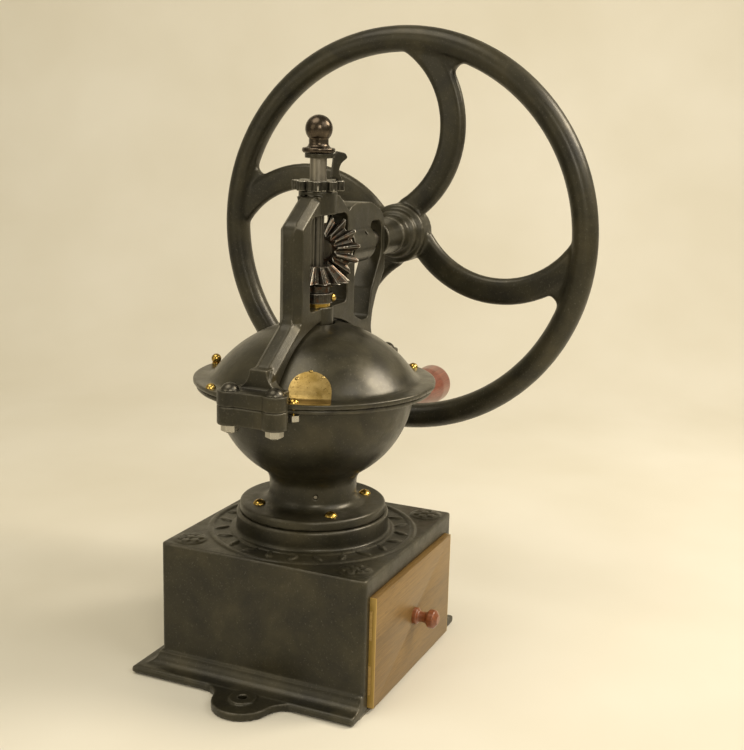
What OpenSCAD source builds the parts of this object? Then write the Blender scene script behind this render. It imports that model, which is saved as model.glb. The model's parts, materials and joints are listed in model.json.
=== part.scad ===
// Hand crank coffee grinder: cast-iron box, bowl and bevel-drive frame, flywheel with
// a wooden grip, domed lid in two halves and a wooden drawer.
// The origin is on the table under the spindle's axis, with +Z up. The drawer faces -Y
// and the crank wheel stands off towards +X.

/* [Base] */
// Width of the box along X
box_w = 200; // [170:1:240]
// Depth of the box along Y
box_d = 200; // [170:1:240]
// Height of the box's top face
box_h = 122; // [110:1:150]
// Thickness of the cast walls
box_wall = 6; // [4:0.5:8]
// How far the moulded skirt stands out of the box
skirt_out = 20; // [15:1:26]
// Height of the skirt
skirt_h = 19; // [15:1:26]
// Radius of a side lug's round tip
lug_r = 27; // [22:1:32]
// How far a lug's screw hole stands outside the box
lug_out = 28; // [24:1:34]
// Thickness of a side lug
lug_t = 7; // [5:1:10]
// Radius of a lug's screw hole
lug_hole_r = 4; // [3:0.5:5]
// Thickness of the sheet bottom plate
plate_t = 2; // [1.5:0.5:3]
// Height of the round plinth on the box
plinth_h = 19; // [12:1:25]
// Radius of the plinth's top
plinth_r = 70; // [66:1:76]

/* [Drawer] */
// Width of the drawer front
drawer_w = 177; // [140:1:183]
// Height of the drawer front
drawer_h = 100; // [70:1:100]
// Length of the drawer from its face to its back
drawer_len = 192; // [150:1:195]
// How far the drawer front stands out of the box
drawer_proud = 5; // [3:1:9]
// Thickness of the drawer front
front_t = 12; // [10:1:15]
// Thickness of the drawer's side and back boards
board_t = 9; // [7:1:11]
// Length of the drawer's turned knob
drawer_knob_len = 23; // [18:1:30]

/* [Bowl and lid] */
// Height of the bowl from the plinth to its rim
bowl_h = 120; // [110:1:140]
// Outer radius of the bowl's round body
bowl_r = 90; // [75:1:108]
// Thickness of the bowl's wall
bowl_wall = 6; // [5:0.5:8]
// Radius of the bowl's neck
neck_r = 40; // [38:1:44]
// Radius of the bowl's foot flange
foot_r = 67; // [64:1:70]
// Thickness of the bowl's foot flange
foot_t = 9; // [7:1:12]
// How far the bowl's rim flange stands out of the bowl
rim_out = 16.5; // [15:0.5:18]
// Height of the dome above its lip
dome_rise = 47.6; // [42:0.2:52]
// Thickness of the lid
lid_t = 3.5; // [2.5:0.5:5]
// How far the lid's lip stands out of the rim
lip_out = 2.5; // [1:0.5:4]

/* [Frame] */
// Thickness of the frame casting along Y
frame_t = 22; // [18:1:26]
// Room between the gears' teeth and the sides of their window
window_room = 3.2; // [2:0.2:6]
// Width of the free upright along X
upright_w = 21; // [15:1:24]
// How far the outer bearing reaches from the spindle
bearing_reach = 155; // [145:1:165]
// Outer radius of the shaft bearings
bearing_r = 17.5; // [15:0.5:19]
// Thickness of a foot plate and depth of the lug under it
foot_plate_t = 13; // [10:1:16]
// How far the frame's bolts stand outside the bowl
bolt_out = 24; // [22:1:28]
// Half the distance between the two bolts of a foot
bolt_y = 21; // [19:1:24]

/* [Drive] */
// Radius of the crank shaft
shaft_r = 8; // [6:0.5:9]
// Radius of the upright spindle
spindle_r = 6; // [5:0.5:6.5]
// Teeth on each bevel gear
teeth = 13; // [11:1:15]
// Pitch radius of the bevel gears, and the distance from their big end to their apex
gear_r = 27; // [25:0.5:29]
// Face width of the gears along their axis
gear_face = 14; // [10:1:16]
// Length of the pinion's hub
pinion_hub = 18.8; // [15:0.2:22]

/* [Wheel] */
// Outer radius of the flywheel
wheel_r = 205; // [170:1:246]
// Radius of the round rim
rim_tube_r = 13; // [11:0.5:15]
// Width of a spoke in the wheel's plane
spoke_w = 27; // [22:1:30]
// Thickness of a spoke along the shaft
spoke_t = 13; // [10:1:16]
// Distance from the spindle to the wheel's middle plane
wheel_x = 192; // [182:1:205]
// Length of the turned grip
grip_len = 110; // [85:1:135]
// Greatest radius of the grip
grip_r = 21; // [17:0.5:24]
// Radius of the pin that the grip turns on
pin_r = 5; // [4:0.5:6]

/* [Adjuster] */
// Outer radius of the star nut
star_r = 23; // [20:0.5:26]
// Thickness of the star nut
star_t = 8.7; // [7:0.1:11]
// Outer radius of the threaded sleeve
sleeve_r = 7.4; // [7.4:0.1:8.4]
// Length of the sleeve above the star nut
sleeve_rise = 19; // [15:1:24]
// Radius of the knob's ball
knob_r = 12; // [10:0.5:14]

/* [Fits] */
// Radial running clearance of a shaft in its bearing
run = 0.05; // [0.02:0.01:0.09]
// Gap between parts that pass each other
gap = 0.5; // [0.3:0.1:0.8]

/* [Hidden] */
$fn = 72;

iron = "#3d3c36";
steel = "#6f6c64";
brass = "#b08d3f";
oak = "#a9663a";
cherry = "#7c3a22";

// heights, from the table up
drawer_z = 4;
plinth_top = box_h + plinth_h;
foot_top = plinth_top + foot_t;
foot_seat = foot_top - 0.3;
rim_z = plinth_top + bowl_h;
bowl_c = rim_z - 2.5;
rim_r = bowl_r + rim_out;
lip_r = rim_r + lip_out;
rim_t = 5.5;
lip_t = 4.4;
dome_r = bowl_r + 1;
dome_z = rim_z + 8;
dome_R = (dome_r * dome_r + dome_rise * dome_rise) / (2 * dome_rise);
dome_c = dome_z + dome_rise - dome_R;
bridge_z = dome_z + dome_rise + 1.5;
seat_z = bridge_z + 12;
washer_t = 3;
pinion_z = seat_z + washer_t + 0.2;
axis_z = pinion_z + pinion_hub + gear_r;
gear_tip = gear_r + 3.1;
gear_root = gear_r - 3.9;
window_z = seat_z - 1;
window_top = axis_z + gear_tip + 1.5;
boss_top = window_top + 21;
star_z = boss_top + 0.3;
sleeve_z = window_top + 1.5;
clip_z = star_z + star_t + sleeve_rise;
clip_t = 4;
knob_z = clip_z + clip_t + 0.3;
ball_z = knob_z + 20.7;

// places in plan
half_w = box_w / 2;
half_d = box_d / 2;
side_out = half_w + skirt_out;
lug_x = half_w + lug_out;
bed = 4;
window_half = gear_tip + window_room;
window_right = window_half + 8;
leg_out = window_half + upright_w;
bolt_x = bowl_r + bolt_out;
leg_foot = bolt_x - 7;
lid_notch_x = dome_r + 0.4;
foot_lobe_r = 11;
lid_split = 0.3;
screw_ring = rim_r - 3.2;
fixed_screw_angles = [-163, -37];
stud_angles = [147, 33];
boss_r = 17;
guide_r = 15.5;
chamber_r = 30;
outlet_r = 24;
burr_z = plinth_top + 5;
burr_h = 24;
clip_angle = -45;
set_angle = -70;
pinion_key_w = 3;
wheel_key_w = 5;

// bolts and screws
bolt_r = 3.5;
bolt_head_r = 8;
screw_r = 2;
lid_head_r = 4.6;
foot_screw_ring = 51;

// ---- helpers

function unit(v) = v / norm(v);

// Points of an arc about c, from angle a to angle b
function arc(c, r, a, b, n = 12) =
    [for (k = [0:n]) c + r * [cos(a + (b - a) * k / n), sin(a + (b - a) * k / n)]];

// Arc that rounds corner b of the path a, b, c
function corner(a, b, c, r, n) =
    let (u = unit(a - b), v = unit(c - b), half = acos(u * v) / 2,
        m = b + unit(u + v) * r / sin(half),
        p = b + u * r / tan(half), q = b + v * r / tan(half),
        start = atan2(p.y - m.y, p.x - m.x), stop = atan2(q.y - m.y, q.x - m.x),
        turn = (stop - start + 540) % 360 - 180)
    arc(m, r, start, start + turn, n);

// Closed outline of [x, y, radius] corners with every corner rounded
function rounded(pts, n = 5) =
    let (last = len(pts))
    [for (i = [0:last - 1])
        let (a = pts[(i + last - 1) % last], b = pts[i], c = pts[(i + 1) % last])
        each (b[2] > 0
            ? corner([a.x, a.y], [b.x, b.y], [c.x, c.y], b[2], n)
            : [[b.x, b.y]])];

// Where two circles cross; side is +1 or -1 and picks one of the two places
function meet(c1, r1, c2, r2, side) =
    let (d = c2 - c1, l = norm(d), g = acos((r1 * r1 + l * l - r2 * r2) / (2 * r1 * l)),
        a = atan2(d.y, d.x) + side * g)
    c1 + r1 * [cos(a), sin(a)];

// A plane outline of x and z, made thick along Y and centred on y = 0
module slab(t) {
    translate([0, t / 2, 0]) rotate([90, 0, 0]) linear_extrude(t) children();
}

module rod_x(x0, x1, r, z = axis_z) {
    translate([x0, 0, z]) rotate([0, 90, 0]) cylinder(h = x1 - x0, r = r);
}

module rod_z(z0, z1, r) {
    translate([0, 0, z0]) cylinder(h = z1 - z0, r = r);
}

module rounded_box(x, y, z0, z1, r) {
    translate([0, 0, z0]) linear_extrude(z1 - z0)
        polygon(rounded([[-x, -y, r], [x, -y, r], [x, y, r], [-x, y, r]]));
}

// Puts its children at radius r on each of the listed angles
module around(r, angles) {
    for (a = angles) rotate([0, 0, a]) translate([r, 0, 0]) children();
}

module at_bolts() {
    for (x = [-1, 1], y = [-1, 1]) translate([x * bolt_x, y * bolt_y, 0]) children();
}

// Round head of a screw: a cap of height h on a radius r
module round_head(r, h) {
    ball = (r * r + h * h) / (2 * h);
    intersection() {
        translate([0, 0, h - ball]) sphere(r = ball);
        cylinder(h = h, r = r + 1);
    }
}

module slotted_head(r, h, slot = 1.2) {
    difference() {
        round_head(r, h);
        translate([-r - 1, -slot / 2, h * 0.5]) cube([2 * r + 2, slot, h]);
    }
}

// ---- base

// Section of the skirt: t runs outwards from the box face
module skirt_section() {
    roll = 4;
    cove = skirt_h - 2 * roll;
    polygon(concat([[-bed, 0]],
        arc([skirt_out - roll, roll], roll, -90, 90, 6),
        arc([skirt_out - roll - 3, 2 * roll + cove], cove, -90, -180, 8),
        [[-bed, skirt_h]]));
}

// Skirt along the +X side, from y0 to y1
module skirt_run(off, y0, y1) {
    translate([off, y1, 0]) rotate([90, 0, 0]) linear_extrude(y1 - y0) skirt_section();
}

module skirt() {
    for (s = [0, 1]) mirror([s, 0, 0]) {
        skirt_run(half_w, -half_d, half_d);
        intersection() {
            skirt_run(half_w, half_d - bed, half_d + skirt_out);
            rotate([0, 0, 90]) mirror([0, 1, 0])
                skirt_run(half_d, half_w - bed, half_w + skirt_out);
        }
    }
    rotate([0, 0, 90]) skirt_run(half_d, -half_w, half_w);
}

// Outline of a lug that blends into the skirt's outer edge
module lug_outline() {
    blend = 20;
    edge = side_out - 2;
    cx = edge + blend;
    cy = sqrt(pow(lug_r + blend, 2) - pow(cx - lug_x, 2));
    t = [lug_x, 0] + [cx - lug_x, cy] * lug_r / (lug_r + blend);
    translate([lug_x, 0]) circle(r = lug_r);
    difference() {
        polygon([[half_w, cy], [edge, cy], t, [t.x, -t.y], [edge, -cy], [half_w, -cy]]);
        for (s = [-1, 1]) translate([cx, s * cy]) circle(r = blend);
    }
}

module leaf(l, w) {
    r = (l * l + w * w) / (4 * w);
    intersection() {
        translate([0, r - w / 2]) circle(r = r);
        translate([0, w / 2 - r]) circle(r = r);
    }
}

// Cast ornament on the top face: two rings, a band of leaves and a corner flower
module top_ornament() {
    relief = 1.5;
    outer = min(half_w, half_d) - 4.5;
    petal_ring = 8;
    rim_w = 4;
    translate([0, 0, box_h - 0.5]) {
        linear_extrude(relief + 0.5) {
            difference() { circle(r = outer); circle(r = outer - rim_w); }
            difference() { circle(r = plinth_r + 5); circle(r = plinth_r); }
            for (a = [0:15:359]) rotate(a) translate([(outer + plinth_r) / 2, 0])
                rotate(a % 30 == 0 ? 28 : -28) leaf(13, 4.6);
        }
    }
    for (x = [-1, 1], y = [-1, 1])
        translate([x * (half_w - 19), y * (half_d - 19), box_h - 0.5]) {
            cylinder(h = 1.6, r = 14);
            cylinder(h = 3.4, r = 3.4);
            around(petal_ring, [0:60:300]) cylinder(h = 2.8, r = 3.2);
        }
}

// Half-width of the drawer opening
opening_half = drawer_w / 2 + gap;

module at_plate_screws() {
    for (x = [-1, 1], y = [-1, 1]) translate([x * (half_w + 1), y * half_d * 0.6, 0]) children();
}

module base_box() {
    color(iron) difference() {
        union() {
            rounded_box(half_w, half_d, 0, box_h, 4);
            skirt();
            for (s = [0, 1]) mirror([s, 0, 0]) {
                linear_extrude(lug_t) lug_outline();
                translate([lug_x, 0, 0]) cylinder(h = lug_t + 2, r = lug_hole_r + 8);
            }
            translate([0, 0, box_h]) rotate_extrude() polygon(concat([[0, -1], [plinth_r + 5, -1]],
                arc([plinth_r + 5, 5], 5, -90, -180, 5),
                arc([plinth_r - 2, plinth_h - 2], 2, 0, 90, 4), [[0, plinth_h]]));
            top_ornament();
        }
        translate([0, 0, -1]) rounded_box(half_w - box_wall, half_d - box_wall, 0,
            box_h - box_wall + 1, 3);
        translate([-opening_half, -half_d - 1, -1])
            cube([2 * opening_half, box_wall + 2, drawer_z + drawer_h + gap + 1]);
        translate([-half_w - bed, -half_d - 1, -1])
            cube([box_w + 2 * bed, box_d + bed + 1, plate_t + 1]);
        rod_z(box_h - box_wall - 1, plinth_top + 1, outlet_r);
        for (s = [-1, 1]) translate([s * lug_x, 0, -1]) cylinder(h = lug_t + 4, r = lug_hole_r);
        at_foot_screws() translate([0, 0, plinth_top - 12]) cylinder(h = 13, r = screw_r);
        at_plate_screws() cylinder(h = 11, r = 1.5);
    }
}

module bottom_plate() {
    color(steel) difference() {
        translate([-half_w - bed + gap, -half_d + gap, 0])
            cube([box_w + 2 * bed - 2 * gap, box_d + bed - 2 * gap, plate_t]);
        at_plate_screws() {
            translate([0, 0, -1]) cylinder(h = plate_t + 2, r = 1.5);
            cylinder(h = 1.5, r1 = 3, r2 = 1.5);
        }
    }
}

module plate_screws() {
    color(steel) at_plate_screws() {
        cylinder(h = 1.5, r1 = 3, r2 = 1.5);
        cylinder(h = 10.5, r = 1.5);
    }
}

// ---- drawer

drawer_face = -half_d - drawer_proud;
drawer_side = drawer_w / 2;
finger_h = drawer_h * 0.27;
front_lap = 3.2;
side_z = plate_t + 0.3;
drawer_knob_z = drawer_z + drawer_h * 0.51;

// Places of the side boards' fingers in the front
module finger_cut(grow = 0) {
    for (s = [-1, 1], share = [0.25, 0.75])
        translate([s * (drawer_side - board_t / 2), drawer_face + (front_t + front_lap) / 2,
            drawer_z + share * drawer_h])
            cube([board_t + grow, front_t - front_lap + grow, finger_h], center = true);
}

module drawer_front() {
    color(oak) difference() {
        translate([-drawer_side, drawer_face, drawer_z]) cube([drawer_w, front_t, drawer_h]);
        finger_cut(0.002);
        translate([0, drawer_face - 1, drawer_knob_z]) rotate([-90, 0, 0])
            cylinder(h = front_t + 2, r = 4);
    }
}

module drawer_sides() {
    color("#b98a4e") {
        for (s = [-1, 1]) translate([s * (drawer_side - board_t / 2), 0, side_z])
            translate([-board_t / 2, drawer_face + front_t, 0])
                cube([board_t, drawer_len - front_t, drawer_z + drawer_h - 8 - side_z]);
        finger_cut();
    }
}

module drawer_back() {
    color("#b98a4e") translate([-drawer_side + board_t, drawer_face + drawer_len - board_t, side_z])
        cube([drawer_w - 2 * board_t, board_t, drawer_z + drawer_h - 14 - side_z]);
}

module drawer_floor() {
    floor_t = 4;
    color("#b98a4e") translate([-drawer_side + board_t, drawer_face + front_t, side_z + 4])
        cube([drawer_w - 2 * board_t, drawer_len - front_t - board_t, floor_t]);
}

module drawer_knob() {
    head_r = 8.5;
    l = drawer_knob_len;
    color(cherry) translate([0, drawer_face, drawer_knob_z]) rotate([90, 0, 0])
        rotate_extrude() polygon(concat([[0, -front_t + 2], [4, -front_t + 2], [4, 0]],
            rounded([[7.5, 0, 0], [7.5, 3.5, 1.5], [5, 5, 2], [4.4, l * 0.5, 6],
                [head_r, l * 0.64, 1.5], [head_r, l * 0.86, 2], [4, l, 1.5], [0, l, 0]], 4)));
}

// ---- bowl

neck_fillet = 16;
neck_flare = 9;
fillet_x = neck_r + neck_fillet;
fillet_z = bowl_c - sqrt(pow(bowl_r + neck_fillet, 2) - pow(fillet_x, 2));
fillet_top = atan2(bowl_c - fillet_z, -fillet_x);
bowl_in = bowl_r - bowl_wall;

// Outline of a foot plate: a bar with a round lobe for each bolt
module foot_outline(x0, grow = 0) {
    neck = bolt_y + 2 + grow;
    front = bolt_x + foot_lobe_r - 3 + grow;
    polygon([[x0, -neck], [bolt_x + 4, -neck], [front, -bolt_y], [front, bolt_y],
        [bolt_x + 4, neck], [x0, neck]]);
    for (s = [-1, 1]) translate([bolt_x, s * bolt_y]) circle(r = foot_lobe_r + grow);
}

module at_foot_screws() {
    around(foot_screw_ring, [45, 135, 225, 315]) children();
}

module at_lid_screws() {
    around(screw_ring, fixed_screw_angles) children();
}

module bowl() {
    color(iron) difference() {
        union() {
            rotate_extrude() polygon(concat(
                [[outlet_r, plinth_top], [foot_r, plinth_top]],
                arc([foot_r - 2.5, foot_top - 2.5], 2.5, 0, 90, 4),
                arc([neck_r + neck_flare, foot_top + neck_flare], neck_flare, 270, 180, 6),
                arc([fillet_x, fillet_z], neck_fillet, 180, fillet_top, 8),
                arc([0, bowl_c], bowl_r, fillet_top - 180, -3, 26),
                [[bowl_r + 2, rim_z - rim_t]],
                arc([rim_r - rim_t / 2, rim_z - rim_t / 2], rim_t / 2, -90, 90, 6),
                [[bowl_in - 1, rim_z]],
                arc([0, bowl_c], bowl_in, 0, -acos(chamber_r / bowl_in), 26),
                [[chamber_r, burr_z], [outlet_r, burr_z]]));
            for (s = [0, 1]) mirror([s, 0, 0]) difference() {
                translate([0, 0, rim_z - foot_plate_t - 3]) linear_extrude(foot_plate_t + 3)
                    foot_outline(bowl_in - 4);
                translate([0, 0, bowl_c]) sphere(r = bowl_in + 1);
                rod_z(rim_z - 20, rim_z + 1, bowl_in + 1);
            }
        }
        at_bolts() translate([0, 0, rim_z - 20]) cylinder(h = 30, r = bolt_r);
        at_foot_screws() {
            translate([0, 0, plinth_top - 1]) cylinder(h = foot_t + 2, r = screw_r);
            translate([0, 0, foot_seat]) cylinder(h = 12, r = 6.3);
        }
        at_lid_screws() translate([0, 0, rim_z - 10]) cylinder(h = 20, r = screw_r);
        at_burr_screws() cylinder(h = 40, r = screw_r);
    }
}

module foot_screws() {
    color(brass) at_foot_screws() {
        translate([0, 0, plinth_top - 11.5]) cylinder(h = foot_t + 11.5, r = screw_r);
        translate([0, 0, foot_seat]) rotate([0, 0, 30]) slotted_head(6, 4);
    }
}

// ---- burrs

// The cone burr's radius at height z, and the ring burr's bore there
function cone_at(z) = 22 - (z - burr_z) * 0.42;
function ring_at(z) = 23.8 - (z - burr_z) * 0.16;

module ring_burr() {
    color(steel) difference() {
        rotate_extrude() polygon([[ring_at(burr_z), burr_z],
            [chamber_r, burr_z], [chamber_r, burr_z + burr_h],
            [chamber_r - 2, burr_z + burr_h], [ring_at(burr_z + 16), burr_z + 16]]);
        for (a = [0:30:330]) rotate([0, 0, a])
            translate([ring_at(burr_z + 10) + 0.4, 0, burr_z - 1]) rotate([0, 10, 0])
                cylinder(h = burr_h + 6, r = 1.1);
        at_burr_screws() cylinder(h = 14, r = screw_r);
    }
}

// Screws that hold the ring burr, driven in through the neck
module at_burr_screws() {
    for (a = [0, 120, 240]) rotate([0, 0, a + 90]) translate([27, 0, burr_z + 17])
        rotate([0, 90, 0]) children();
}

module burr_screws() {
    color(steel) at_burr_screws() cylinder(h = neck_r - 29.5, r = screw_r);
}

module cone_burr() {
    top = burr_z + burr_h + 4;
    color(steel) difference() {
        rotate_extrude() polygon([[spindle_r, burr_z], [cone_at(burr_z), burr_z],
            [cone_at(top), top], [spindle_r, top]]);
        for (a = [0:36:324]) rotate([0, 0, a]) translate([cone_at(burr_z + 14) + 0.5, 0, burr_z + 14])
            rotate([14, -23, 0]) cylinder(h = 60, r = 1.3, center = true);
        translate([0, 0, burr_z + burr_h / 2]) rotate([-90, 0, 0])
            cylinder(h = 60, r = 1.5, center = true);
    }
}

module burr_key() {
    reach = cone_at(burr_z + burr_h / 2) - 1;
    color(steel) translate([0, 0, burr_z + burr_h / 2]) rotate([-90, 0, 0])
        cylinder(h = 2 * reach, r = 1.5, center = true);
}

module burr_nut() {
    color(steel) difference() {
        rod_hex(burr_z - 9, burr_z, 10);
        rod_z(burr_z - 10, burr_z + 1, spindle_r);
    }
}

module rod_hex(z0, z1, r) {
    translate([0, 0, z0]) cylinder(h = z1 - z0, r = r, $fn = 6);
}

// ---- lid

function lip_top() = rim_z + lip_t;

// Upper outline of the lid, moved out by off
function lid_top(off) =
    let (a0 = asin((dome_z - dome_c) / dome_R), R = dome_R + off)
    concat([[lip_r, lip_top() + off]],
        corner([lip_r, lip_top() + off], [dome_r + 3.4, lip_top() + off],
            [0, dome_c] + R * [cos(a0), sin(a0)], 5, 4),
        arc([0, dome_c], R, a0, acos((guide_r + 1.8) / R), 22));

module lid_ring(bottom) {
    inner = dome_R - lid_t;
    a0 = acos((dome_r - lid_t) / inner);
    rotate_extrude() polygon(concat([[lip_r, bottom]], lid_top(0),
        arc([0, dome_c], inner, acos((guide_r + 1.8) / inner), a0, 18),
        [[dome_r - lid_t, bottom]]));
}

// Room in the lid for the two foot plates of the frame
module lid_notches(grow = 0.6) {
    for (s = [0, 1]) mirror([s, 0, 0])
        translate([0, 0, rim_z - 1]) linear_extrude(40) foot_outline(lid_notch_x, grow);
}

module half_lid(side, bottom) {
    difference() {
        lid_ring(bottom);
        lid_notches();
        translate([-150, side > 0 ? -300 + lid_split : -lid_split, rim_z - 10])
            cube([300, 300, 90]);
    }
}

module fixed_lid() {
    color(iron) difference() {
        half_lid(-1, rim_z);
        at_lid_screws() translate([0, 0, rim_z - 10]) cylinder(h = 20, r = screw_r);
        at_plate_pins() cylinder(h = 10, r = 0.9);
    }
}

module lid_screws() {
    color(brass) at_lid_screws() {
        translate([0, 0, rim_z - rim_t - 6]) cylinder(h = rim_t + 6 + lip_t, r = screw_r);
        translate([0, 0, lip_top()]) rotate([0, 0, 20]) slotted_head(lid_head_r, 4);
    }
}

module lid_nuts() {
    color(steel) at_lid_screws() difference() {
        rod_hex(rim_z - rim_t - 5, rim_z - rim_t, 6);
        rod_z(rim_z - rim_t - 6, rim_z, screw_r);
    }
}

// Blank brass plate, bent over the fixed lid's edge beside the leg
plate_angle = -156;
plate_half = 18;

module plate_outline() {
    translate([-plate_half, -30]) square([2 * plate_half, 38]);
    translate([0, 8]) circle(r = plate_half);
}

module blank_plate() {
    thick = 0.8;
    low = lid_top(0);
    color(brass) difference() {
        intersection() {
            rotate_extrude() polygon(concat(lid_top(thick), [for (i = [len(low) - 1:-1:0]) low[i]]));
            rotate([0, 0, plate_angle]) translate([dome_r + 2, 0, dome_z - 3])
                rotate([0, 45, 0]) rotate([0, 0, 90]) translate([0, 0, -15])
                    linear_extrude(40) plate_outline();
        }
        lid_notches(1);
        at_lid_screws() translate([0, 0, rim_z]) cylinder(h = 20, r = lid_head_r + 0.1);
        at_plate_pins() cylinder(h = 10, r = 0.9);
    }
}

module at_plate_pins() {
    for (p = [[-8, 47.5], [7.5, 46.5], [0, 43.5]])
        translate([0, 0, dome_c]) rotate([0, p[1], plate_angle + p[0]])
            translate([0, 0, dome_R - lid_t]) children();
}

module plate_pins() {
    color(brass) at_plate_pins() {
        cylinder(h = lid_t + 1, r = 0.9);
        translate([0, 0, lid_t + 0.8]) round_head(1.6, 0.8);
    }
}

free_bottom = rim_z + 0.2;

module free_lid() {
    color(iron) difference() {
        half_lid(1, free_bottom);
        around(screw_ring, concat(stud_angles, [90])) rod_z(rim_z - 5, rim_z + 20, screw_r);
    }
}

module lid_knob() {
    color(brass) around(screw_ring, [90]) {
        rod_z(free_bottom, lip_top() + 1, screw_r);
        translate([0, 0, lip_top()]) cylinder(h = 1.5, r = 4);
        translate([0, 0, lip_top() + 5]) sphere(r = 4.6);
    }
}

module lid_studs() {
    color(brass) around(screw_ring, stud_angles) {
        rod_z(free_bottom, lip_top(), screw_r);
        translate([0, 0, lip_top()]) round_head(lid_head_r, 4);
    }
}

// ---- frame

under_z = rim_z + foot_plate_t;

// Outer edge of one leg from its foot up to the arch: [x, z, radius]
function leg_edge() = [[leg_foot, under_z - 4, 0], [leg_foot - 9, under_z + 17, 12],
    [leg_out, bridge_z + 4, 16], [leg_out, boss_top - 27.5, 14], [boss_r + 5, boss_top - 4.5, 4]];

module bracket_outline() {
    reach = bearing_reach - 28.5;
    polygon(rounded([[window_right - 2, bridge_z, 0], [window_right - 2, boss_top - 22, 0],
        [leg_out - 7, boss_top - 16.5, 0], [leg_out + 4, boss_top - 13.5, 8],
        [leg_out + 39, boss_top - 15, 22], [reach - 8, axis_z + 27, 10], [reach, axis_z + 13, 6],
        [reach, axis_z - 30, 10], [reach - 19, bridge_z + 8, 16], [leg_foot - 6.5, bridge_z - 6, 10],
        [leg_foot - 9.5, under_z + 24, 10], [leg_foot - 1, under_z - 3, 0],
        [leg_foot - 24, under_z - 3, 0]]));
}

// Opening between the upright and the bracket's outer strip
module slot_outline() {
    left = leg_out + 3;
    right = bearing_reach - 37.5;
    polygon(rounded([[left, bridge_z - 4, 6], [left, axis_z - 7, 0], [right - 26.5, axis_z - 7, 0],
        [right - 26.5, axis_z + 19.4, 5], [right, axis_z + 19.4, 9], [right, axis_z - 13, 14],
        [right - 21, bridge_z + 16, 12], [right - 27, bridge_z - 12, 7],
        [left + 17, bridge_z - 11, 7]]));
}

module frame_outline() {
    left = leg_edge();
    right = [for (i = [len(left) - 1:-1:0]) [-left[i].x, left[i].y, left[i].z]];
    difference() {
        union() {
            polygon(rounded([for (p = concat(left, right)) [-p.x, p.y, p.z]]));
            bracket_outline();
        }
        polygon(rounded([[-window_half, window_z, 5], [window_right, window_z, 5],
            [window_right, window_top, 8], [-window_half, window_top, 8]]));
        slot_outline();
        translate([0, dome_c]) circle(r = dome_R + 1.5, $fn = 180);
    }
}

// Flat cut along the edges of the near leg between two corners of its outline
module edge_cut(a, b, w) {
    d = b - a;
    for (y = [-1, 1])
        translate([a.x, y * frame_t / 2, a.y]) rotate([0, -atan2(d.y, d.x), 0])
            translate([norm(d) / 2, 0, 0]) rotate([45, 0, 0])
                cube([norm(d) + 3, w * sqrt(2), w * sqrt(2)], center = true);
}

// Flare of a leg's foot onto its plate
module toe() {
    rise = 19;
    half = frame_t / 2 - 3;
    reach = bolt_y - 1;
    bottom = under_z - 2;
    side = arc([half + rise, bottom + rise], rise, 180, 228, 6);
    translate([lid_notch_x + 2, 0, 0]) rotate([90, 0, 90]) linear_extrude(leg_foot - lid_notch_x - 4)
        polygon(concat([[reach, bottom]], [for (i = [len(side) - 1:-1:0]) side[i]],
            [for (q = side) [-q.x, q.y]], [[-reach, bottom]]));
}

// Widths of the flat cuts; neighbours differ a little, so that no two end on one line
leg_cuts = [6, 6.5, 6.2];

module frame() {
    edge = [for (p = leg_edge()) [-p.x, p.y]];
    color(iron) difference() {
        union() {
            difference() {
                slab(frame_t) frame_outline();
                for (i = [1:3]) edge_cut(edge[i], edge[i + 1], leg_cuts[i - 1]);
            }
            rod_z(window_top + 1, boss_top, boss_r);
            rod_z(bridge_z - 6, seat_z, guide_r);
            rod_x(window_right + 1, leg_out + 34, bearing_r + 1);
            rod_x(bearing_reach - 34, bearing_reach, bearing_r);
            for (s = [0, 1]) mirror([s, 0, 0]) {
                translate([0, 0, rim_z]) linear_extrude(foot_plate_t)
                    foot_outline(lid_notch_x + 0.6);
                toe();
            }
        }
        rod_z(bridge_z - 20, window_top - 5, spindle_r + run);
        rod_z(window_top - 4, boss_top + 1, sleeve_r + run);
        rod_x(window_right - 3, bearing_reach + 1, shaft_r + run);
        at_bolts() rod_z(rim_z - 1, rim_z + 30, bolt_r);
        rotate([0, 0, 168]) translate([boss_r - 6, 0, boss_top - 5]) rotate([0, 90, 0])
            cylinder(h = 10, r = 1.8);
        translate([leg_out + 18, 0, axis_z]) rotate([55, 0, 0])
            cylinder(h = bearing_r + 4, r = 2);
    }
}

module frame_bolts() {
    color(steel) at_bolts() {
        rod_z(rim_z - foot_plate_t - 11, under_z, bolt_r);
        translate([0, 0, under_z]) round_head(bolt_head_r, 6);
    }
}

module frame_nuts() {
    top = rim_z - foot_plate_t - 3;
    color(steel) at_bolts() difference() {
        rod_hex(top - 6, top, 7.6);
        rod_z(top - 7, top + 1, bolt_r);
    }
}

module thrust_washer() {
    color(brass) difference() {
        rod_z(seat_z, seat_z + washer_t, 12.5);
        rod_z(seat_z - 1, seat_z + washer_t + 1, spindle_r + run);
    }
}

// ---- bevel drive

// Straight bevel gear: big end at z = 0, apex at z = gear_r
module bevel_teeth() {
    step = 360 / teeth;
    function at(r, a) = r * [cos(a), sin(a)];
    linear_extrude(gear_face, scale = (gear_r - gear_face) / gear_r)
        polygon([for (k = [0:teeth - 1]) each [
            at(gear_root, (k - 0.34) * step), at(gear_r, (k - 0.215) * step),
            at(gear_tip, (k - 0.085) * step), at(gear_tip, (k + 0.085) * step),
            at(gear_r, (k + 0.215) * step), at(gear_root, (k + 0.34) * step)]]);
}

module bevel_gear() {
    bevel_teeth();
    translate([0, 0, -3]) cylinder(h = 3.5, r1 = gear_root - 4.5, r2 = gear_root - 0.5);
}

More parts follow.
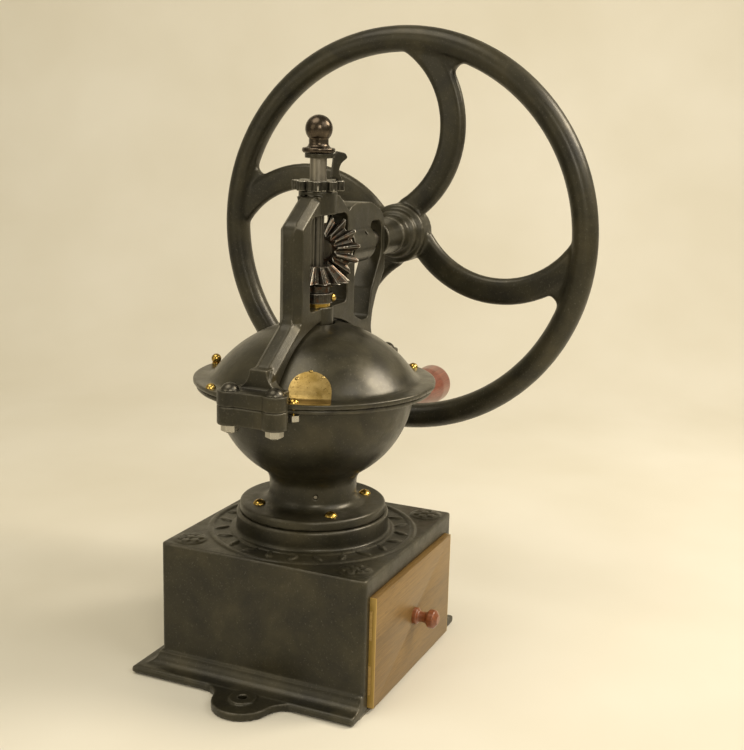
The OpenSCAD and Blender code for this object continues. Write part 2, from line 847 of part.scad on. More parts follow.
module drive_gear() {
    color(steel) difference() {
        union() {
            translate([gear_r, 0, axis_z]) rotate([0, -90, 0]) bevel_gear();
            rod_x(gear_r + 2, window_right - gap, 14);
        }
        rod_x(0, window_right, shaft_r);
        translate([gear_r + 6.5, 0, axis_z]) rotate([90, 0, 0])
            cylinder(h = 60, r = 1.6, center = true);
    }
}

module gear_pin() {
    color(steel) translate([gear_r + 6.5, 0, axis_z]) rotate([90, 0, 0])
        cylinder(h = 31, r = 1.6, center = true);
}

module crank_shaft() {
    end = wheel_x + 31;
    color(steel) difference() {
        union() {
            rod_x(gear_r - gear_face - 2, end, shaft_r);
            rod_x(end, end + 2, shaft_r - 2);
        }
        translate([gear_r + 6.5, 0, axis_z]) rotate([90, 0, 0])
            cylinder(h = 60, r = 1.6, center = true);
        translate([wheel_x - 20, -wheel_key_w / 2, axis_z + shaft_r - 2.5])
            cube([34, wheel_key_w, 6]);
    }
}

set_r = 14.6;
collar_h = 9;

module pinion() {
    body_r = 11.5;
    color(steel) difference() {
        union() {
            translate([0, 0, axis_z - gear_r]) rotate([0, 0, 180 + 180 / teeth]) bevel_gear();
            rod_z(pinion_z, pinion_z + collar_h, set_r);
            rod_z(pinion_z + 1, axis_z - gear_r - 1, body_r);
        }
        rod_z(pinion_z - 1, axis_z, spindle_r + run);
        key_space(0);
        at_set_screw() cylinder(h = 10, r = 2.5);
    }
}

// Room for the key between spindle and pinion
module key_space(grow) {
    translate([-pinion_key_w / 2 - grow, spindle_r - 2, pinion_z + 2])
        cube([pinion_key_w + 2 * grow, 4.5, pinion_hub - 4]);
}

module pinion_key() {
    color(steel) key_space(0);
}

module at_set_screw() {
    rotate([0, 0, set_angle]) translate([spindle_r + 1.2, 0, pinion_z + collar_h / 2])
        rotate([0, 90, 0]) children();
}

module set_screw() {
    shank = set_r - spindle_r - 1.2;
    color(brass) at_set_screw() {
        cylinder(h = shank, r = 2.5);
        translate([0, 0, shank]) slotted_head(4, 3.2, 1);
    }
}

// ---- spindle

module spindle() {
    color(steel) difference() {
        union() {
            rod_z(burr_z - 12, knob_z + 12, spindle_r);
            rod_z(burr_z + burr_h + 4, burr_z + burr_h + 7, spindle_r + 3);
        }
        translate([0, 0, burr_z + burr_h / 2]) rotate([-90, 0, 0])
            cylinder(h = 60, r = 1.5, center = true);
        translate([-pinion_key_w / 2 - 0.1, spindle_r - 2.1, pinion_z])
            cube([pinion_key_w + 0.2, 4, pinion_hub]);
    }
}

module top_knob() {
    a0 = asin(-8.4 / knob_r);
    color("#77695a") difference() {
        rotate_extrude() polygon(concat(
            [[0, knob_z], [13, knob_z], [14.5, knob_z + 1.3], [14.5, knob_z + 3.4]],
            arc([13.4, knob_z + 3.4], 1.1, 0, 90, 4),
            arc([12.6, knob_z + 8.5], 4, -100, -180, 5),
            arc([0, ball_z], knob_r, a0, 89, 20), [[0, ball_z + knob_r]]));
        rod_z(knob_z - 1, knob_z + 12, spindle_r);
    }
}

// ---- adjuster

module star_nut() {
    lobe = 4.2;
    color(steel) difference() {
        translate([0, 0, star_z]) linear_extrude(star_t) {
            circle(r = star_r - 6.5);
            for (a = [22.5:45:359]) rotate(a) translate([star_r - lobe, 0]) circle(r = lobe);
            for (a = [22.5:45:359]) rotate(a) translate([0, -2.6]) square([star_r - lobe, 5.2]);
        }
        rod_z(star_z - 1, star_z + star_t + 1, sleeve_r + run);
    }
}

module sleeve() {
    color(steel) difference() {
        rod_z(sleeve_z, clip_z + clip_t - 0.3, sleeve_r);
        rod_z(sleeve_z - 1, clip_z + clip_t + 1, spindle_r + run);
    }
}

module lock_clip() {
    arm_t = 5;
    inner = star_r - 5.8;
    top = star_z + star_t;
    color(iron) difference() {
        union() {
            rod_z(clip_z, clip_z + clip_t, 12);
            rotate([0, 0, clip_angle]) slab(arm_t) polygon(rounded([
                [inner, star_z + 2, 0.8], [inner + 4.4, star_z + 2, 0.8], [inner + 3.8, top + 1.5, 3],
                [inner + 0.6, top + 9, 8], [inner + 3.5, clip_z - 4, 6], [inner + 9, clip_z + 0.5, 1.5],
                [inner + 7, clip_z + 4.5, 3], [inner - 1, clip_z + 6.2, 1], [inner - 1.6, clip_z + clip_t, 0],
                [9, clip_z + clip_t, 0], [9, clip_z, 0], [inner - 3.6, clip_z, 1], [inner - 5.6, top + 2, 1],
                [inner, top + 1, 0.8]], 3));
        }
        rod_z(clip_z - 1, clip_z + clip_t + 1, sleeve_r);
    }
}

// ---- flywheel

// One spoke lies along +x of its own plane and bows towards +y
bow_r = 99;
rim_c = wheel_r - rim_tube_r;
bow_c = [rim_c * 0.552, -rim_c * 0.245];
hub_r = 30;
pin_ring = rim_c - 12;

module stadium(w, t) {
    square([w - t, t], center = true);
    for (s = [-1, 1]) translate([s * (w - t) / 2, 0]) circle(d = t, $fn = 32);
}

// Curved corner between the rim and one edge of a spoke
module spoke_fillet(edge_r, r, side) {
    inside = rim_c - rim_tube_r + 1;
    c = meet([0, 0], inside - r, bow_c, edge_r + (side > 0 ? r : -r), 1);
    on_rim = c * inside / norm(c);
    on_spoke = bow_c + (c - bow_c) * edge_r / norm(c - bow_c);
    tip = meet([0, 0], inside, bow_c, edge_r, 1);
    difference() {
        polygon([on_spoke, on_rim, on_rim * 1.03, tip * 1.03, tip,
            bow_c + (tip - bow_c) * (edge_r - side * 4) / edge_r,
            bow_c + (on_spoke - bow_c) * (edge_r - side * 4) / edge_r]);
        translate(c) circle(r = r);
    }
}

module spoke() {
    end = meet([0, 0], rim_c, bow_c, bow_r, 1) - bow_c;
    start = meet([0, 0], hub_r - 8, bow_c, bow_r, 1) - bow_c;
    a0 = atan2(end.y, end.x);
    a1 = atan2(start.y, start.x);
    translate([bow_c.x, bow_c.y, 0]) rotate([0, 0, a0])
        rotate_extrude(angle = (a1 - a0 + 360) % 360) translate([bow_r, 0])
            stadium(spoke_w, spoke_t);
    translate([0, 0, -spoke_t * 0.35]) linear_extrude(spoke_t * 0.7) {
        spoke_fillet(bow_r + spoke_w / 2 - 2, 10, 1);
        spoke_fillet(bow_r - spoke_w / 2 + 2, 22, -1);
    }
}

// Lays a plane drawn in x and y into the wheel's plane: x along +Y and y along +Z
module wheel_plane() {
    translate([wheel_x, 0, axis_z]) rotate([90, 0, 90]) children();
}

module flywheel() {
    color(iron) difference() {
        union() {
            wheel_plane() {
                rotate_extrude($fn = 144) translate([rim_c, 0]) circle(r = rim_tube_r, $fn = 48);
                for (a = [0:90:270]) rotate([0, 0, a]) spoke();
                translate([0, -pin_ring, -2]) cylinder(h = rim_tube_r + 3, r = 12);
            }
            rod_x(wheel_x - 14, wheel_x + 12, hub_r);
            rod_x(wheel_x - 22, wheel_x + 14, 24);
            rod_x(bearing_reach + gap, wheel_x - 20, 18.5);
        }
        rod_x(bearing_reach, wheel_x + 20, shaft_r);
        translate([wheel_x - 20, -wheel_key_w / 2, axis_z]) cube([40, wheel_key_w, shaft_r + 2.5]);
        wheel_plane() translate([0, -pin_ring, -2]) cylinder(h = 40, r = pin_r);
    }
}

module wheel_key() {
    color(steel) translate([wheel_x - 20, -wheel_key_w / 2, axis_z + shaft_r - 2.5])
        cube([34, wheel_key_w, 5]);
}

module wheel_washer() {
    color(steel) difference() {
        rod_x(wheel_x + 14, wheel_x + 17, 17);
        rod_x(wheel_x + 13, wheel_x + 18, shaft_r);
    }
}

module wheel_nut() {
    color(steel) difference() {
        translate([wheel_x + 17, 0, axis_z]) rotate([0, 90, 0]) cylinder(h = 10, r = 14, $fn = 6);
        rod_x(wheel_x + 16, wheel_x + 28, shaft_r);
    }
}

grip_z = axis_z - pin_ring;
grip_x = wheel_x + rim_tube_r + 1 + gap;

module handle_pin() {
    end = grip_x + grip_len;
    color(steel) {
        rod_x(wheel_x - 2, end - 3, pin_r, grip_z);
        translate([end - 3, 0, grip_z]) rotate([0, 90, 0]) slotted_head(pin_r + 2.5, 3.4, 1.6);
    }
}

module grip() {
    l = grip_len;
    bore = pin_r + run;
    color(cherry) translate([grip_x, 0, grip_z]) rotate([0, 90, 0]) rotate_extrude()
        polygon(rounded([[bore, 0, 0], [10, 0, 0], [12.5, 3, 2], [11, l * 0.16, 10],
            [grip_r * 0.78, l * 0.42, 60], [grip_r, l * 0.66, 30], [grip_r, l * 0.86, 13],
            [grip_r * 0.55, l, 9], [pin_r + 3.5, l, 0.6], [pin_r + 3.5, l - 3.5, 0],
            [bore, l - 3.5, 0]], 7));
}

base_box();
bottom_plate();
plate_screws();
bowl();
foot_screws();
ring_burr();
burr_screws();
fixed_lid();
lid_screws();
lid_nuts();
blank_plate();
plate_pins();
frame();
frame_bolts();
frame_nuts();
thrust_washer();
drawer_front();
drawer_sides();
drawer_back();
drawer_floor();
drawer_knob();
free_lid();
lid_knob();
lid_studs();
flywheel();
crank_shaft();
drive_gear();
gear_pin();
wheel_key();
wheel_washer();
wheel_nut();
handle_pin();
grip();
pinion();
set_screw();
pinion_key();
spindle();
cone_burr();
burr_key();
burr_nut();
top_knob();
star_nut();
sleeve();
lock_clip();
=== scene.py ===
import json
import math

import bpy
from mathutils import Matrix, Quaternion, Vector


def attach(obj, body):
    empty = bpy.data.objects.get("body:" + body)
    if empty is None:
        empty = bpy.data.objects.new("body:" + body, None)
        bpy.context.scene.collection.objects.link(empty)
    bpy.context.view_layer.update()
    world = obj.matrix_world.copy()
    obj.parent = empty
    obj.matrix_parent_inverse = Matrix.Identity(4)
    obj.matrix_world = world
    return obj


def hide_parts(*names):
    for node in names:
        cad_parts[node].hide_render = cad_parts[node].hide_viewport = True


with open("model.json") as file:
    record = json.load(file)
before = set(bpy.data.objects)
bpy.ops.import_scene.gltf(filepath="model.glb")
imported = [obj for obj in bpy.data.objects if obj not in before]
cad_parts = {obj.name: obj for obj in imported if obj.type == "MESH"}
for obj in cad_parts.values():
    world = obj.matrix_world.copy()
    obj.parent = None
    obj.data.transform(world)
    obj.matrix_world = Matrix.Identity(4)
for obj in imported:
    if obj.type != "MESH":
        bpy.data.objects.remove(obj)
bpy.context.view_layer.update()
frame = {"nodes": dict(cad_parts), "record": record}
nodes = frame["nodes"]
bodyOf = {node: body for body, names in frame["record"]["behaviour"]["bodies"].items() for node in names}
print("frame loaded:", len(nodes), "CAD nodes")

mm = 0.001  # the scene is in metres, and sizes below are in millimetres


def linear(code):
    # sRGB hex to the linear colour that the shader wants
    parts = [int(code[i:i + 2], 16) / 255 for i in (1, 3, 5)]
    return tuple(p / 12.92 if p < 0.04045 else ((p + 0.055) / 1.055) ** 2.4 for p in parts) + (1.0,)


def addNode(tree, kind, settings=None, inputs=None):
    # one node, with its settings and what goes into its sockets: a value, or another node's output
    node = tree.nodes.new(kind)
    for key, value in (settings or {}).items():
        setattr(node, key, value)
    for key, value in (inputs or {}).items():
        if isinstance(value, bpy.types.NodeSocket):
            tree.links.new(value, node.inputs[key])
        else:
            node.inputs[key].default_value = value
    return node


def startMaterial(name):
    material = bpy.data.materials.new(name)
    material.use_nodes = True
    tree = material.node_tree
    tree.nodes.clear()
    coords = addNode(tree, "ShaderNodeTexCoord")
    inMm = addNode(tree, "ShaderNodeMapping", {},
        {"Vector": coords.outputs["Object"], "Scale": (1 / mm, 1 / mm, 1 / mm)})
    return material, tree, inMm.outputs["Vector"]


def finishMaterial(tree, sockets, bumps):
    # bumps is a list of (height socket, strength, distance in mm), laid one over another
    shader = addNode(tree, "ShaderNodeBsdfPrincipled", {}, sockets)
    normal = None
    for height, strength, depth in bumps:
        bump = addNode(tree, "ShaderNodeBump", {},
            {"Height": height, "Strength": strength, "Distance": depth * mm})
        if normal:
            tree.links.new(normal, bump.inputs["Normal"])
        normal = bump.outputs["Normal"]
    if normal:
        tree.links.new(normal, shader.inputs["Normal"])
    addNode(tree, "ShaderNodeOutputMaterial", {}, {"Surface": shader.outputs["BSDF"]})


def ramp(tree, fac, stops):
    # colour ramp from (place, hex or grey) stops
    node = addNode(tree, "ShaderNodeValToRGB", {}, {"Fac": fac})
    points = node.color_ramp.elements
    while len(points) < len(stops):
        points.new(0.5)
    for point, (place, value) in zip(points, stops):
        point.position = place
        point.color = linear(value) if isinstance(value, str) else (value, value, value, 1)
    return node.outputs["Color"]


def multiply(tree, first, second):
    return addNode(tree, "ShaderNodeMath", {"operation": "MULTIPLY"}, {0: first, 1: second}).outputs[0]


def spread(tree, value, low, high):
    # noise runs from about 0.3 to 0.7: stretched to run from low to high
    return addNode(tree, "ShaderNodeMapRange", {}, {"Value": value,
        "From Min": 0.3, "From Max": 0.7, "To Min": low, "To Max": high}).outputs["Result"]


def noise(tree, vector, sizeMm, detail=4.0, rough=0.55, distort=0.0):
    node = addNode(tree, "ShaderNodeTexNoise", {}, {"Vector": vector, "Scale": 1 / sizeMm,
        "Detail": detail, "Roughness": rough, "Distortion": distort})
    return node.outputs["Fac"]


mixSockets = {"share": 0, "under": 6, "over": 7}  # a mix node's sockets for colour share one name


def mixColor(tree, share, under, over):
    node = addNode(tree, "ShaderNodeMix", {"data_type": "RGBA"})
    values = zip(mixSockets.values(), (share, under, over))
    for index, value in values:
        if isinstance(value, bpy.types.NodeSocket):
            tree.links.new(value, node.inputs[index])
        else:
            node.inputs[index].default_value = value
    return node.outputs[2]


def edges(tree, low, high):
    # 0 on flats and hollows, 1 on the sharp outer edges that hands and cloths rub
    geometry = addNode(tree, "ShaderNodeNewGeometry")
    span = addNode(tree, "ShaderNodeMapRange", {}, {"Value": geometry.outputs["Pointiness"],
        "From Min": low, "From Max": high})
    return span.outputs["Result"]


ironLook = {
    "dark": "#1d1b12", "body": "#2e2b1c", "light": "#3f3a28", "worn": "#7c776a",
    "patchMm": 42, "sheenMm": 15, "rubMm": 9, "waveMm": 22,
    "grainMm": 1.5, "speckMm": 1.9, "pitMm": 6,
}


def castIron(name, look, roughLow, roughHigh, grain, wear):
    # cast iron blackened and waxed: nearly black olive-grey, a satin shine, sand-cast grain
    # and paler metal where edges are rubbed
    material, tree, place = startMaterial(name)
    patches = noise(tree, place, look["patchMm"], 5, 0.6, 0.4)
    color = ramp(tree, patches, [(0.32, look["dark"]), (0.52, look["body"]), (0.72, look["light"])])
    fine = noise(tree, place, look["grainMm"], 3, 0.6)
    speck = ramp(tree, noise(tree, place, look["speckMm"], 6, 0.7), [(0.58, 0.0), (0.72, 0.35)])
    color = mixColor(tree, speck, color, linear(look["worn"]))
    rubbed = ramp(tree, noise(tree, place, look["rubMm"], 4, 0.6), [(0.36, 0.15), (0.62, wear)])
    color = mixColor(tree, multiply(tree, edges(tree, 0.51, 0.575), rubbed), color, linear(look["worn"]))
    roughness = spread(tree, noise(tree, place, look["sheenMm"], 5, 0.62), roughLow, roughHigh)
    pits = ramp(tree, noise(tree, place, look["pitMm"], 2, 0.5), [(0.25, 0.0), (0.42, 1.0)])
    waves = noise(tree, place, look["waveMm"], 2, 0.5)  # flats of a sand casting are never true
    finishMaterial(tree, {"Base Color": color, "Metallic": 0.55, "Roughness": roughness,
        "Coat Weight": 0.35, "Coat Roughness": 0.27},
        [(waves, 0.5, 1.0), (pits, 0.3, 0.15), (fine, grain, 0.16)])
    return material


steelLook = {"rust": "#5d3a22", "rustMm": 6, "patchMm": 9, "sheenMm": 4, "toolMarkMm": 1.1}


def steel(name, body, dark, roughLow, roughHigh, edgeColor=None, rust=0.0):
    # turned and filed steel, browned with age, brighter where metal rubs on metal
    material, tree, place = startMaterial(name)
    color = ramp(tree, noise(tree, place, steelLook["patchMm"], 5, 0.6), [(0.35, dark), (0.65, body)])
    if rust:
        spots = ramp(tree, noise(tree, place, steelLook["rustMm"], 6, 0.65), [(0.5, 0.0), (0.66, rust)])
        color = mixColor(tree, spots, color, linear(steelLook["rust"]))
    if edgeColor:
        color = mixColor(tree, edges(tree, 0.51, 0.57), color, linear(edgeColor))
    roughness = spread(tree, noise(tree, place, steelLook["sheenMm"], 5, 0.6), roughLow, roughHigh)
    finishMaterial(tree, {"Base Color": color, "Metallic": 0.95, "Roughness": roughness},
        [(noise(tree, place, steelLook["toolMarkMm"], 3, 0.6), 0.18, 0.06)])
    return material


brassLook = {"patchMm": 11, "spotMm": 1.7, "grainMm": 1.5}


def brassMetal(name, body, dark, stain, roughness, speckle):
    # yellow brass: bright and warm, with brown tarnish in spots
    material, tree, place = startMaterial(name)
    color = ramp(tree, noise(tree, place, brassLook["patchMm"], 4, 0.6), [(0.35, dark), (0.62, body)])
    spots = ramp(tree, noise(tree, place, brassLook["spotMm"], 5, 0.7), [(0.56, 0.0), (0.66, speckle)])
    color = mixColor(tree, spots, color, linear(stain))
    finishMaterial(tree, {"Base Color": color, "Metallic": 1.0, "Roughness": roughness},
        [(noise(tree, place, brassLook["grainMm"], 3, 0.6), 0.2, 0.05)])
    return material


woodLook = {"fibreStretch": 0.045, "bandStretch": 0.12, "endGrain": "#a88a45", "endWidthMm": 1.6}


def wood(name, colors, along, poreMm, ringMm, roughness, poreDark, coat=0.15, endAt=None):
    # sawn or turned wood: long fibres and open pores along the grain, slow bands across it
    material, tree, place = startMaterial(name)
    stretch = [1.0, 1.0, 1.0]
    stretch[along] = woodLook["fibreStretch"]
    fibreSpace = addNode(tree, "ShaderNodeMapping", {},
        {"Vector": place, "Scale": stretch}).outputs["Vector"]
    stretch[along] = woodLook["bandStretch"]
    bandSpace = addNode(tree, "ShaderNodeMapping", {},
        {"Vector": place, "Scale": stretch}).outputs["Vector"]
    bands = noise(tree, bandSpace, ringMm, 4, 0.55, 0.8)
    fibres = noise(tree, fibreSpace, poreMm, 4, 0.65)
    color = ramp(tree, bands, [(0.3, colors[0]), (0.5, colors[1]), (0.7, colors[2])])
    color = mixColor(tree, 0.55, color, ramp(tree, fibres, [(0.3, colors[0]), (0.7, colors[2])]))
    pores = ramp(tree, noise(tree, fibreSpace, poreMm * 0.62, 3, 0.6), [(0.30, 1.0), (0.42, 0.0)])
    color = mixColor(tree, multiply(tree, pores, poreDark), color, linear(colors[3]))
    if endAt:
        # end grain shows paler on the board's two ends
        sides = addNode(tree, "ShaderNodeSeparateXYZ", {}, {"Vector": place})
        across = addNode(tree, "ShaderNodeMath", {"operation": "ABSOLUTE"}, {0: sides.outputs["X"]})
        onEnd = addNode(tree, "ShaderNodeMapRange", {}, {"Value": across.outputs[0],
            "From Min": endAt - woodLook["endWidthMm"], "From Max": endAt - woodLook["endWidthMm"] / 2})
        color = mixColor(tree, onEnd.outputs["Result"], color, linear(woodLook["endGrain"]))
    finishMaterial(tree, {"Base Color": color, "Metallic": 0.0, "Roughness": roughness, "IOR": 1.5,
        "Coat Weight": coat, "Coat Roughness": 0.3}, [(fibres, 0.25, 0.12), (pores, -0.3, 0.15)])
    return material


waxedIron = castIron("waxedCastIron", ironLook, 0.36, 0.56, 0.55, 0.8)
# the lid halves: the same iron with lower roughness for their smoother finish, and lighter colours that are
# painted sheen of the dome
lidIronPaintedSheen = castIron("smoothLidIronPaintedSheen", {**ironLook, "dark": "#24221b", "body": "#383527", "light": "#4a4636"},
    0.28, 0.42, 0.25, 0.6)
blackSteel = steel("brownedSteel", "#4c4a44", "#2f2d29", 0.30, 0.46, "#8d887d")
starSteel = steel("rubbedSteel", "#5b5850", "#3a3832", 0.26, 0.40, "#c9c5ba")
gearSteel = steel("wornGearSteel", "#57534b", "#35322c", 0.24, 0.40, "#d8d4ca", 0.8)
knobSteel = steel("polishedBrownSteel", "#5d5348", "#40382f", 0.20, 0.32, "#8a8073")
nutSteel = steel("brightNutSteel", "#85827a", "#5d5a53", 0.24, 0.38, "#b9b5ab")
screwBrass = brassMetal("polishedBrass", "#cdb063", "#a3843c", "#6b4a1e", 0.22, 0.3)
plateBrass = brassMetal("speckledBrass", "#a8925f", "#85703f", "#5a4827", 0.38, 0.85)
oakColors = ["#584220", "#795e31", "#8b6e3d", "#3c270f"]
paleColors = ["#9a7a3c", "#b08f4c", "#bd9d5b", "#6b4a22"]
drawerEndMm = 88.5  # half the width of the drawer's front board
drawerWood = wood("varnishedOak", oakColors, 0, 1.1, 26, 0.45, 0.75, endAt=drawerEndMm)
paleWood = wood("plainPaleBoard", paleColors, 1, 1.6, 13, 0.5, 0.4, 0.05)
paleWoodCross = wood("plainPaleBack", paleColors, 0, 1.6, 13, 0.5, 0.4, 0.05)
gripWood = wood("polishedCherry", ["#57281a", "#75392a", "#8f5540", "#32120b"], 0, 1.3, 11, 0.30, 0.5, 0.4)
knobWood = wood("polishedCherryKnob", ["#5a2a16", "#7c4424", "#965a34", "#31120a"], 1, 1.1, 7, 0.3, 0.4, 0.35)
print("materials made")


def onlySelect(piece):
    if bpy.context.object and bpy.context.object.mode != "OBJECT":
        bpy.ops.object.mode_set(mode="OBJECT")
    bpy.ops.object.select_all(action="DESELECT")
    piece.select_set(True)
    bpy.context.view_layer.objects.active = piece


def applyModifier(piece, kind, settings):
    onlySelect(piece)
    modifier = piece.modifiers.new(kind.lower(), kind)
    for key, value in settings.items():
        setattr(modifier, key, value)
    bpy.ops.object.modifier_apply(modifier=modifier.name)


def paint(piece, material):
    piece.data.materials.clear()
    piece.data.materials.append(material)


mergeMm = 0.01
sharpDeg = 35  # edges that turn more than this stay crisp on boards


def cadCopy(node, name):
    # a copy of a CAD node with its loose triangles merged, ready to shape further
    piece = nodes[node].copy()
    piece.data = nodes[node].data.copy()
    piece.name = name
    piece.parent = None
    for key in list(piece.keys()):
        del piece[key]
    bpy.context.scene.collection.objects.link(piece)
    onlySelect(piece)
    bpy.ops.object.mode_set(mode="EDIT")
    bpy.ops.mesh.select_all(action="SELECT")
    bpy.ops.mesh.remove_doubles(threshold=mergeMm * mm)
    bpy.ops.mesh.normals_make_consistent(inside=False)
    bpy.ops.object.mode_set(mode="OBJECT")
    bpy.ops.object.shade_smooth()
    if piece.data.has_custom_normals:
        bpy.ops.mesh.customdata_custom_splitnormals_clear()
    return piece


def standFor(piece, node, material):
    paint(piece, material)
    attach(piece, bodyOf[node])
    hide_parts(node)


def castPiece(node, name, material, voxel, rounds, keep=1.0):
    # a casting: the CAD shape rebuilt as one skin, its corners melted round as sand and fettling leave them
    piece = cadCopy(node, name)
    applyModifier(piece, "REMESH", {"mode": "VOXEL", "voxel_size": voxel * mm, "use_smooth_shade": True})
    applyModifier(piece, "SMOOTH", {"factor": 0.5, "iterations": rounds})
    if keep < 1:
        applyModifier(piece, "DECIMATE", {"ratio": keep})
    onlySelect(piece)
    bpy.ops.object.shade_smooth()
    standFor(piece, node, material)
    print("cast", name, len(piece.data.polygons), "faces")


def sawnPiece(node, name, material, edge, steps=2):
    # a sawn board or machined piece: flat faces with their edges broken
    piece = cadCopy(node, name)
    onlySelect(piece)
    bpy.ops.object.mode_set(mode="EDIT")
    bpy.ops.mesh.select_all(action="SELECT")
    bpy.ops.mesh.dissolve_limited(angle_limit=math.radians(1))
    bpy.ops.object.mode_set(mode="OBJECT")
    applyModifier(piece, "BEVEL", {"width": edge * mm, "segments": steps, "limit_method": "ANGLE",
        "angle_limit": math.radians(sharpDeg)})
    onlySelect(piece)
    bpy.ops.object.shade_smooth_by_angle(angle=math.radians(sharpDeg))
    standFor(piece, node, material)


castings = {
    # node: (name, material, voxel mm, smoothing rounds, share of faces kept)
    "base_box": ("cast_box", waxedIron, 1.1, 2, 0.22),
    "bowl": ("cast_bowl", waxedIron, 1.1, 3, 0.35),
    "frame": ("cast_frame", waxedIron, 0.8, 4, 0.5),
    "flywheel": ("cast_flywheel", waxedIron, 1.5, 14, 0.6),
    "fixed_lid": ("dome_half_fixed", lidIronPaintedSheen, 1.0, 3, 0.4),
    "free_lid": ("dome_half_free", lidIronPaintedSheen, 1.0, 3, 0.4),
    "lock_clip": ("latch_clip", waxedIron, 0.4, 4, 0.5),
    "star_nut": ("star_adjuster", starSteel, 0.4, 5, 0.5),
    "drive_gear": ("bevel_drive_gear", gearSteel, 0.4, 2, 0.4),
    "pinion": ("bevel_pinion", gearSteel, 0.4, 2, 0.4),
    "frame_bolts": ("frame_bolt_heads", starSteel, 0.45, 4, 0.5),
    "top_knob": ("ball_knob", knobSteel, 0.4, 8, 0.5),
}
for node, (name, material, voxel, rounds, keep) in castings.items():
    castPiece(node, name, material, voxel, rounds, keep)

boards = {
    "drawer_front": ("drawer_face_board", drawerWood, 0.7),
    "drawer_sides": ("drawer_side_boards", paleWood, 0.5),
    "drawer_back": ("drawer_back_board", paleWoodCross, 0.6),
    "drawer_floor": ("drawer_floor_board", paleWoodCross, 0.4),
}
for node, (name, material, edge) in boards.items():
    sawnPiece(node, name, material, edge)
print("boards made")


# small parts that keep their CAD shape and only get a finish
asBuilt = {
    "bottom_plate": blackSteel, "plate_screws": blackSteel, "ring_burr": gearSteel, "burr_screws": blackSteel,
    "lid_nuts": nutSteel, "frame_nuts": nutSteel, "crank_shaft": blackSteel, "gear_pin": blackSteel,
    "wheel_key": blackSteel, "wheel_washer": blackSteel, "wheel_nut": blackSteel, "handle_pin": blackSteel,
    "pinion_key": blackSteel, "spindle": blackSteel, "cone_burr": gearSteel, "burr_key": blackSteel,
    "burr_nut": blackSteel, "sleeve": blackSteel, "foot_screws": screwBrass, "lid_screws": screwBrass,
    "thrust_washer": screwBrass, "lid_knob": screwBrass, "lid_studs": screwBrass, "set_screw": screwBrass,
    "blank_plate": plateBrass, "plate_pins": plateBrass, "drawer_knob": knobWood, "grip": gripWood,
}
for node, material in asBuilt.items():
    paint(nodes[node], material)
print("small parts painted")


def areaLight(name, place, target, size, power, color):
    light = bpy.data.lights.new(name, "AREA")
    light.shape = "DISK"
    light.size = size
    light.energy = power
    light.color = linear(color)[:3]
    lamp = bpy.data.objects.new(name, light)
    lamp.location = place
    lamp.rotation_euler = (Vector(target) - Vector(place)).to_track_quat("-Z", "Y").to_euler()
    bpy.context.scene.collection.objects.link(lamp)


room = {
    "paper": "#d6d2c4", "light": "#dedbd0", "mottleMm": 300, "toothMm": 40,
    "behind": 1.6, "curve": 0.7, "width": 7, "height": 4, "turnDeg": 23.8,
    "gap": 0.0004,  # how far the sheet lies under the foot of the box
}


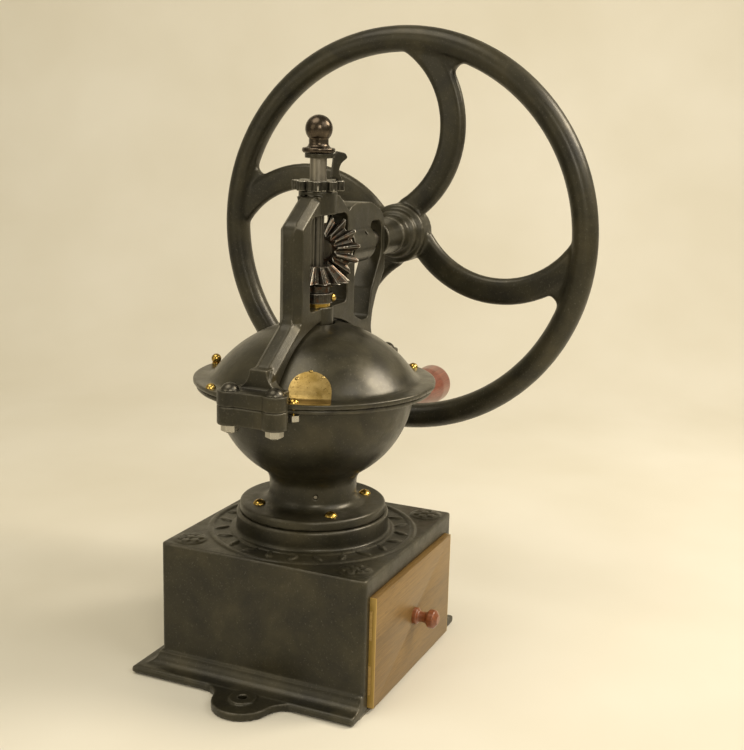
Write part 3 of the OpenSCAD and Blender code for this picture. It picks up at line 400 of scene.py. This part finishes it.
def makeBackdrop():
    # one sheet of pale paper: flat under the mill, curving up behind it, square to the view
    material, tree, place = startMaterial("palePaper")
    mottle = noise(tree, place, room["mottleMm"], 3, 0.5)
    color = ramp(tree, mottle, [(0.3, room["paper"]), (0.7, room["light"])])
    tooth = noise(tree, place, room["toothMm"], 3, 0.5)
    finishMaterial(tree, {"Base Color": color, "Roughness": 0.8}, [(tooth, 0.1, 0.5)])
    bpy.ops.object.select_all(action="DESELECT")
    bpy.ops.mesh.primitive_plane_add(size=room["width"])
    sheet = bpy.context.object
    sheet.name = "paper_backdrop"
    bpy.ops.object.mode_set(mode="EDIT")
    bpy.ops.mesh.select_all(action="SELECT")
    bpy.ops.transform.translate(value=(room["behind"] - room["width"] / 2, 0, -room["gap"]))
    bpy.ops.mesh.select_all(action="DESELECT")
    bpy.ops.object.mode_set(mode="OBJECT")
    for edge in sheet.data.edges:
        ends = [sheet.data.vertices[index].co.x for index in edge.vertices]
        edge.select = min(ends) > room["behind"] - 0.01
    bpy.ops.object.mode_set(mode="EDIT")
    bpy.ops.mesh.select_mode(type="EDGE")
    bpy.ops.mesh.extrude_region_move(TRANSFORM_OT_translate={"value": (0.001, 0, room["height"])})
    bpy.ops.object.mode_set(mode="OBJECT")
    applyModifier(sheet, "BEVEL", {"width": room["curve"], "segments": 24, "limit_method": "ANGLE"})
    onlySelect(sheet)
    bpy.ops.object.mode_set(mode="EDIT")
    bpy.ops.mesh.select_all(action="SELECT")
    turn = math.radians(room["turnDeg"])
    bpy.ops.transform.rotate(value=-turn, orient_axis="Z", center_override=(0, 0, 0))
    bpy.ops.object.mode_set(mode="OBJECT")
    bpy.ops.object.shade_smooth()
    paint(sheet, material)


makeBackdrop()
lamps = {
    # name: (place, aimed at, size, watts, colour)
    "highKey": ((0.7, -1.15, 1.35), (0, 0, 0.25), 0.7, 23, "#fff1da"),
    "nearCamera": ((-1.25, -0.85, 0.95), (0, 0, 0.3), 0.5, 6, "#fff4e0"),
    "topSoft": ((-0.6, 0.5, 2.2), (0, 0, 0.2), 1.5, 18, "#fff4e0"),
    "sideFill": ((-1.9, 1.0, 0.9), (0, 0, 0.25), 1.4, 6, "#fff2d6"),
    "paperWash": ((-0.2, -1.9, 1.9), (1.1, 0.5, 0.4), 1.6, 16, "#fff8ee"),
}
for name, (place, target, size, power, color) in lamps.items():
    areaLight(name, place, target, size, power, color)

roomLight = {"color": "#ede2c6", "strength": 0.38}
world = bpy.data.worlds.new("softRoom")
world.use_nodes = True
world.node_tree.nodes["Background"].inputs["Color"].default_value = linear(roomLight["color"])
world.node_tree.nodes["Background"].inputs["Strength"].default_value = roomLight["strength"]
bpy.context.scene.world = world

view = {
    "place": (-0.9538, -0.4771, 0.5061),
    "look": (0.8929, 0.3939, -0.2183),
    "rollDeg": 1.56,
    "lens": 58.0,
}
lens = bpy.data.cameras.new("camera")
lens.lens = view["lens"]
lens.clip_start = 0.01
camera = bpy.data.objects.new("camera", lens)
camera.location = view["place"]
camera.rotation_mode = "QUATERNION"
camera.rotation_quaternion = (Vector(view["look"]).to_track_quat("-Z", "Y")
    @ Quaternion((0, 0, 1), math.radians(view["rollDeg"])))
bpy.context.scene.collection.objects.link(camera)
bpy.context.scene.camera = camera
bpy.context.scene.view_settings.view_transform = "Standard"
print("camera and light set")
